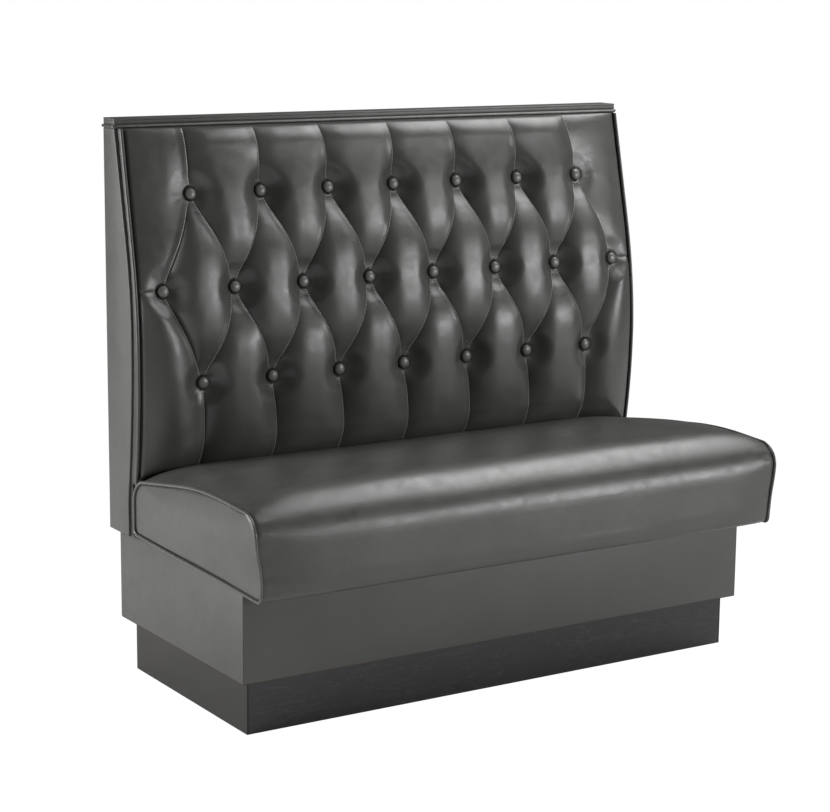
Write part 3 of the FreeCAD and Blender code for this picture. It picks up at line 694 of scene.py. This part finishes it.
def make_stitching():
    """Short raised stitches along the left-hand lip of every fold."""
    clear, clear_beyond = 0.014, 0.016      # kept free of stitches round a button
    first_z, last_z = 0.415, BACK_TOP - 0.006
    runs = []
    for i in range(7):
        left = (i - 1, 1) if i else None
        for low, high in ((LOW_ROW, MIDDLE_ROW), (MIDDLE_ROW, TOP_ROW)):
            runs.append(((left, (i, -1)), low + clear, high - clear))
            runs.append((((i, -1), (i, 1)), low + clear, high - clear))
        runs.append(((left, (i, -1)), TOP_ROW + clear_beyond, last_z))
        runs.append(((left, (i, -1)), first_z, LOW_ROW - clear_beyond))
    points, faces = [], []
    for bounds, low, high in runs:
        z = np.linspace(low, high, max(3, int((high - low) / 0.001)))
        x = pillow_sides(bounds, z)[1] - STITCH_IN
        depth = cushion_depth(bounds, z, x) + 0.0004
        path = resample(np.stack([x, REAR_Y - depth, z], 1), STITCH_PITCH)
        for a, b in zip(path, path[1:]):
            ahead = Vector(b - a).normalized()
            middle = Vector((a + b) / 2)
            side = ahead.cross(Vector((0, -1, 0))).normalized()
            out = side.cross(ahead)
            start = len(points)
            for t, r in ((-1, 0.25), (-0.7, 0.9), (0.7, 0.9), (1, 0.25)):
                for k in range(6):
                    angle = math.pi * k / 3
                    points.append(middle + ahead * (STITCH_REACH * t)
                                  + side * (STITCH_THICK * r * math.cos(angle))
                                  + out * (STITCH_THICK * r * math.sin(angle)))
            faces += grid_faces(4, 6, start, closed=True)
    add_mesh("fold_stitching", points, faces, THREAD)


def make_buttons():
    """Covered buttons, each a full dome in a near-black rim that is a painted shadow ring round it.
    The profiles are (radius, height).
    """
    dome = [(0.0085, -0.0015), (0.0104, -0.0002), (0.0110, 0.0014), (0.0111, 0.0028),
            (0.0106, 0.0043), (0.0094, 0.0056), (0.0074, 0.0066), (0.0050, 0.0073),
            (0.0025, 0.0077), (0.0, 0.0078)]
    rim = [(0.0134, -0.0042), (0.0133, -0.0002), (0.0127, 0.0008), (0.0119, 0.0010),
           (0.0108, 0.0003), (0.0095, -0.0010)]
    obj = turned_buttons("button_covers", dome, BUTTON_VINYL_PAINTED_LIGHT)
    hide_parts("back_buttons")
    # Near-black rings under the domes: painted shadow in the moat round each button.
    turned_buttons("button_painted_shadow_rings", rim, DARK_THREAD_AND_PAINTED_SHADOW)


def turned_buttons(name, profile, material):
    """A profile turned at every button, with a slight pucker round it."""
    around, step = 36, 0.001
    points, faces = [], []
    for bx, bz in BUTTONS:
        slope = float(edge_depth(bz + step) - edge_depth(bz - step)) / (2 * step)
        out = Vector((0, -1, -slope)).normalized()
        side = Vector((1, 0, 0))
        up = out.cross(side)
        seat = Vector((bx, REAR_Y - float(base_depth(bx, bz)), bz)) - out * 0.001
        start = len(points)
        for r, h in profile:
            for k in range(around):
                a = 2 * math.pi * k / around
                pull = 1 + 0.012 * math.sin(9 * a + 31 * bx) * (r / 0.011)
                points.append(seat + side * (r * pull * math.cos(a))
                              + up * (r * pull * math.sin(a)) + out * h)
        faces += grid_faces(len(profile), around, start, closed=True)
    return add_mesh(name, points, faces, material, merge=0.00001)


# Sides of the back

def make_back_sides():
    """At each side of the back: the covered end panel, the boxing strip and the upright piping."""
    rows, cols, bow = 120, 9, 0.0022
    seat_corner = 0.388
    for side, label in ((-1, "left"), (1, "right")):
        zs = np.linspace(BOX_TOP + 0.005, BACK_TOP, 150)
        wave = [0.0007 * noise.noise(Vector((side, 2.0, z * 60))) for z in zs]
        outline = [(REAR_Y, zs[0])]
        outline += [(REAR_Y - float(frame_depth(z)) - w, z) for z, w in zip(zs, wave)]
        outline += [(REAR_Y, zs[-1])]
        x0, x1 = sorted((side * HALF, side * (HALF - PANEL)))
        panel = prism(f"back_{label}_panel_wrap", outline, "X", x0, x1, PANEL_VINYL, 0.0022)
        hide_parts(f"back_{label}_end_cover")
        points = []
        for z in np.linspace(BOX_TOP + 0.006, BACK_TOP, rows):
            back = float(frame_depth(z))
            front = float(edge_depth(z)) if z > seat_corner else SEAT_REAR - 0.0033
            rear_x, front_x = HALF - 0.0040, float(welt_x(z)) - 0.0014
            for k in range(cols):
                t = k / (cols - 1)
                x = side * (rear_x + (front_x - rear_x) * t - bow * math.sin(math.pi * t))
                points.append((x, REAR_Y - (back - 0.004) - (front - back + 0.003) * t, z))
        # Drawn in the darkened vinyl: painted shade in the recess behind the panel's edge.
        boxing = add_mesh(f"back_{label}_boxing_strip", points, grid_faces(rows, cols), SHADE_PAINTED_VINYL)
        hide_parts(f"back_{label}_boxing")
        path = [(side * float(welt_x(z)), REAR_Y - float(edge_depth(z)), z)
                for z in np.linspace(seat_corner, BACK_TOP - 0.0005, 162)]
        welt = tube(f"back_{label}_piping", path, BACK_WELT, VINYL, wobble=0.03)
        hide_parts(f"back_{label}_welt")


# Cap rail

def make_cap():
    """The cap's cover with its folded top and underside, and the piping under its lower edge."""
    front = 0.048
    low, high = CAP_BOTTOM + 0.0102, HEIGHT + 0.0022
    outline = [(-HALF, REAR_Y), (HALF, REAR_Y), (HALF, REAR_Y - front), (-HALF, REAR_Y - front)]
    cover = prism("cap_wrap", outline, "Z", low, high - 0.0031, PANEL_VINYL, 0.0032)
    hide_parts("cap_cover")
    x, y = HALF - 0.0006, REAR_Y - front + 0.0006
    top = [(-x, REAR_Y), (x, REAR_Y), (x, y), (-x, y)]
    prism("cap_top_fold", top, "Z", high - 0.0045, high, PANEL_VINYL, 0.0013)
    x, y = HALF - 0.0010, REAR_Y - front + 0.0010
    under = [(-x, REAR_Y - 0.0005), (x, REAR_Y - 0.0005), (x, y), (-x, y)]
    # Drawn in the darkened vinyl: painted shade under the cap.
    prism("cap_wrap_underside", under, "Z", CAP_BOTTOM, low + 0.003, SHADE_PAINTED_VINYL, 0.0008)
    x, y = HALF + 0.0010, REAR_Y - front - 0.0010
    corners = [(-x, REAR_Y - 0.002), (-x, y), (x, y), (x, REAR_Y - 0.002)]
    path = resample(rounded(corners, (0.004, 0.004), 6), 0.004)
    welt = tube("cap_piping", [(p[0], p[1], CAP_BOTTOM + 0.0072) for p in path], WELT, VINYL,
                wobble=0.06)
    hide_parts("cap_welt")


# Seat

def seat_outline(crown, inset=0.0, raised=0.0):
    """Closed (depth, z) loop: underside, rear, top and front, for a share of the crown.

    inset draws the loop in on all sides, and raised lifts its rear lower corner off the box.
    """
    def mix(end, middle):
        return end + (middle - end) * crown
    rear, nose = SEAT_REAR + 0.001 + inset, mix(0.5965, BOOTH_DEPTH) - inset
    start = (0.34, BOX_TOP + 0.006 * raised + inset)
    lower_rear = (rear, BOX_TOP + 0.0145 * raised + inset)
    upper_rear = (rear, BOX_TOP + mix(0.116, 0.139) - inset)
    waist = (mix(0.395, 0.330), BOX_TOP + mix(0.1618, 0.171) - inset)
    brow = (mix(0.5960, BOOTH_DEPTH - 0.012) - inset, BOX_TOP + mix(0.1510, 0.188) - inset)
    chin = (nose, BOX_TOP + 0.030)
    foot = (nose - mix(0.003, 0.0), BOX_TOP - mix(0.0035, 0.0005) + inset)
    corners = [start, lower_rear, upper_rear, waist, brow, chin, foot, start]
    radii = (0.012, mix(0.046, 0.040) - inset, mix(0.900, 0.500), mix(0.042, 0.092) - inset,
             0.060, 0.010 - inset / 2)
    return rounded(corners, radii, 12)


def seat_end_x(depth, z):
    """x of the right end, which leans out at the brow and in at the foot, mostly at the front."""
    lean = -0.0055 + 0.0110 * smooth((z - 0.300) / 0.095)
    return SEAT_X + lean * smooth((depth - 0.20) / 0.30)


def seat_shell(name, material, within=0.0):
    """The whole seat as one closed skin, or a core that lies within it."""
    cells, end_round = 220, 0.010
    aways = np.concatenate([[-0.001], np.linspace(0, end_round, 9),
                            np.linspace(0.013, CROWN_RUN, 38)])
    middle = SEAT_X - END_SET - CROWN_RUN
    sections = [(-1, a, 0.0) for a in aways]
    sections += [(0, CROWN_RUN, x) for x in np.linspace(-middle, middle, 60)[1:-1]]
    sections += [(1, a, 0.0) for a in aways[::-1]]
    points = []
    for side, away, x_at in sections:
        crown = 1 - (1 - min(1.0, away / CROWN_RUN)) ** 3
        turn = 1 - min(1.0, max(away, 0.0) / end_round)
        inset = within + 0.0030 * (1 - math.sqrt(max(0.0, 1 - turn ** 2)))
        if away < 0:
            away, inset = TUCK, inset + 0.0025
        line = resample(seat_outline(crown, inset, max(0.0, 1 - away / 0.012)), 0.003)
        at, old = np.linspace(0, 1, cells + 1)[:-1], np.linspace(0, 1, len(line))
        line = np.stack([np.interp(at, old, line[:, k]) for k in (0, 1)], 1)
        for depth, z in line:
            x = x_at
            if side:
                lean = float(seat_end_x(depth, z)) - SEAT_X
                x = side * (SEAT_X - END_SET - within - away * (1 - within / CROWN_RUN)
                            + lean * (1 - away / CROWN_RUN) ** 2)
            y = REAR_Y - depth
            top = (1.0 if z > BOX_TOP + 0.03 else 0.2) * min(1.0, away / 0.03)
            soft = 0.0014 * noise.noise(Vector((x * 5.5, y * 9, z * 9))) * top
            # Small gathers along the seam with the end cover
            near = math.exp(-((away - 0.016) / 0.012) ** 2)
            phase = y * 210 + z * 190 + 3 * noise.noise(Vector((y * 20, z * 20, x)))
            soft += 0.0004 * near * math.sin(phase)
            points.append((x, y - (soft if depth > 0.5 else 0.0), z + soft))
    count = len(sections)
    faces = grid_faces(count, cells, closed=True)
    for side, first in ((-1, 0), (1, (count - 1) * cells)):
        points.append((side * (SEAT_X - END_SET - TUCK - within), REAR_Y - 0.36, BOX_TOP + 0.078))
        faces += [(first + k, first + (k + 1) % cells, len(points) - 1) for k in range(cells)]
    return add_mesh(name, points, faces, material, angle=60)


def make_seat():
    """The seat's skin and core, and at each end its bulging cover and the piping round it."""
    cushion = seat_shell("seat_cushion", VINYL)
    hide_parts("seat_cover")
    core = seat_shell("seat_foam", FOAM, 0.004)
    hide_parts("seat_foam_core")
    for side, label in ((-1, "left"), (1, "right")):
        rim = resample(seat_outline(0.0, 0.0040, 1.0), 0.004)[:-1]
        centre = np.array([0.36, BOX_TOP + 0.078])
        reach = np.linalg.norm(rim - centre, axis=1)
        rings = [0.0, 0.12, 0.25, 0.38, 0.5, 0.6, 0.7, 0.78, 0.84, 0.88, 0.91, 0.935, 0.955, 0.97,
                 0.98, 0.99, 0.996, 1.0]
        points = []
        for s in rings:
            for (depth, z), r in zip(rim, reach):
                q = centre + (np.array([depth, z]) - centre) * s
                turn = min(1.0, (1 - s) * r / 0.006)
                bulge = 0.0035 * math.sqrt(1 - (1 - turn) ** 2) + 0.0050 * (1 - s * s)
                bulge += 0.0008 * (1 - s) * noise.noise(Vector((q[0] * 16, q[1] * 16, side)))
                x = side * (float(seat_end_x(*q)) - 0.0040 + bulge)
                points.append((x, REAR_Y - q[0], q[1]))
        faces = grid_faces(len(rings), len(rim), closed=True)
        panel = add_mesh(f"seat_{label}_end_cover", points, faces, VINYL, merge=0.00001)
        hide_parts(f"seat_{label}_end_panel")
        path = [(side * float(seat_end_x(d, z)), REAR_Y - d, z)
                for d, z in resample(seat_outline(0.0, 0.0, 1.0), 0.004)]
        # Drawn in the lighter piping vinyl: painted highlight.
        welt = tube(f"seat_{label}_piping", path, WELT, PIPING_VINYL_PAINTED_LIGHT, wobble=0.04)
        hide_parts(f"seat_{label}_welt")


# Seat box and toe kick

def make_box_wrap():
    """The seat box's wraps with sewn corners, a fold over its sides' tops and a bare lower edge."""
    x, skin, seam = HALF - 0.017, 0.0015, 0.0009
    front, rear = REAR_Y - (BOOTH_DEPTH - 0.097), REAR_Y - 0.011
    bottom, low = 0.1018, 0.1034
    pieces = [("front", -x + seam, x - seam, front, front + skin),
              ("left", -x, -x + skin, front + seam, rear),
              ("right", x - skin, x, front + seam, rear)]
    for place, x0, x1, y0, y1 in pieces:
        outline = [(x0, y0), (x1, y0), (x1, y1), (x0, y1)]
        wrap = prism(f"seat_box_{place}_wrap", outline, "Z", low, BOX_TOP, PANEL_VINYL, 0.0006)
        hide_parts(f"seat_box_{place}_cover")
    for side, label in ((-1, "left"), (1, "right")):
        corner = side * (x - 0.0013)
        path = [(corner, front + 0.0013, low + t * (BOX_TOP - low)) for t in (0, 0.5, 1)]
        tube(f"seat_box_{label}_corner_seam", path, seam, DARK_THREAD_AND_PAINTED_SHADOW, sides=8)
        x0, x1 = sorted((side * (x - 0.0195), side * (x - 0.0004)))
        outline = [(x0, front + 0.001), (x1, front + 0.001), (x1, rear), (x0, rear)]
        prism(f"seat_box_{label}_top_fold", outline, "Z", BOX_TOP - 0.0003, BOX_TOP + 0.0007,
              PANEL_VINYL, 0.0)
    x, front = x - 0.0007, front + 0.0007
    outline = [(-x, rear), (-x, front), (x, front), (x, rear), (x - skin, rear),
               (x - skin, front + skin), (-x + skin, front + skin), (-x + skin, rear)]
    prism("seat_box_lower_edge", outline, "Z", bottom, low, CORE_EDGE, 0.0)


# Camera, stage and lights

def make_camera():
    """The camera that was fitted to the photo's straight edges."""
    focal_px, width_px, sensor = 2231.708, 830, 36.0
    place = (-2.354334, -3.554358, 1.354070)
    yaw, pitch, roll = 0.569509, 0.194287, 0.0099398
    camera = bpy.data.cameras.new("photo_camera")
    camera.sensor_width = sensor
    camera.lens = focal_px / width_px * sensor
    camera.clip_end = 100
    ahead = Vector((math.sin(yaw) * math.cos(pitch), math.cos(yaw) * math.cos(pitch),
                    -math.sin(pitch)))
    right = Vector((math.cos(yaw), -math.sin(yaw), 0))
    up = right.cross(ahead)
    side = right * math.cos(roll) + up * math.sin(roll)
    top = up * math.cos(roll) - right * math.sin(roll)
    obj = bpy.data.objects.new("photo_camera", camera)
    obj.matrix_world = Matrix(((side.x, top.x, -ahead.x, place[0]),
                               (side.y, top.y, -ahead.y, place[1]),
                               (side.z, top.z, -ahead.z, place[2]), (0, 0, 0, 1)))
    scene.collection.objects.link(obj)
    scene.camera = obj


def softbox(name, place, target, width, height, watts):
    lamp = bpy.data.lights.new(name, "AREA")
    lamp.shape = "RECTANGLE"
    lamp.size, lamp.size_y = width, height
    lamp.energy = watts
    obj = bpy.data.objects.new(name, lamp)
    aim = Vector(target) - Vector(place)
    obj.matrix_world = Matrix.Translation(place) @ aim.to_track_quat("-Z", "Y").to_matrix().to_4x4()
    scene.collection.objects.link(obj)


def make_floor():
    """A pale floor that glows a little where the camera sees it."""
    material, nodes, links, shader, _ = new_material("studio_floor")
    shader.inputs["Base Color"].default_value = (0.85, 0.85, 0.85, 1)
    shader.inputs["Roughness"].default_value = 0.8
    glow = nodes.new("ShaderNodeEmission")
    glow.inputs["Color"].default_value = (1, 1, 1, 1)
    glow.inputs["Strength"].default_value = 1.08
    path = nodes.new("ShaderNodeLightPath")
    share = nodes.new("ShaderNodeMath")
    share.operation = "MULTIPLY"
    share.inputs[1].default_value = 0.93
    links.new(path.outputs["Is Camera Ray"], share.inputs[0])
    mix = nodes.new("ShaderNodeMixShader")
    links.new(share.outputs[0], mix.inputs[0])
    links.new(shader.outputs[0], mix.inputs[1])
    links.new(glow.outputs[0], mix.inputs[2])
    out = [n for n in nodes if n.type == "OUTPUT_MATERIAL"][0]
    links.new(mix.outputs[0], out.inputs["Surface"])
    mesh = bpy.data.meshes.new("studio_floor")
    r = 20.0        # half its width
    mesh.from_pydata([(-r, -r, 0), (r, -r, 0), (r, r, 0), (-r, r, 0)], [], [(0, 1, 2, 3)])
    mesh.materials.append(material)
    floor = bpy.data.objects.new("studio_floor", mesh)
    scene.collection.objects.link(floor)


def make_world():
    """White as the camera sees it, and a low fill for everything else."""
    world = bpy.data.worlds.new("studio")
    world.use_nodes = True
    nodes, links = world.node_tree.nodes, world.node_tree.links
    nodes.clear()
    out = nodes.new("ShaderNodeOutputWorld")
    fill = nodes.new("ShaderNodeBackground")
    fill.inputs["Color"].default_value = (1, 1, 1, 1)
    fill.inputs["Strength"].default_value = 0.095
    white = nodes.new("ShaderNodeBackground")
    white.inputs["Color"].default_value = (1, 1, 1, 1)
    white.inputs["Strength"].default_value = 1.0
    path = nodes.new("ShaderNodeLightPath")
    mix = nodes.new("ShaderNodeMixShader")
    links.new(path.outputs["Is Camera Ray"], mix.inputs[0])
    links.new(fill.outputs[0], mix.inputs[1])
    links.new(white.outputs[0], mix.inputs[2])
    links.new(mix.outputs[0], out.inputs["Surface"])
    scene.world = world


def make_lights():
    softbox("left_rear_softbox", (-3.0, 1.0, 1.4), (-0.4, 0.1, 0.6), 1.6, 2.0, 96)
    softbox("overhead_softbox", (1.8, -0.25, 3.0), (0.2, -0.1, 0.5), 2.4, 1.6, 77)
    softbox("right_front_softbox", (3.5, -4.45, 1.38), (0.0, 0.0, 0.7), 2.0, 0.6, 102)


dress_cad_nodes()
make_camera()
make_floor()
make_world()
make_lights()
make_tufted_cushion()
make_stitching()
make_buttons()
make_back_sides()
make_cap()
make_seat()
make_box_wrap()

scene.view_settings.view_transform = "Standard"
bpy.context.view_layer.update()
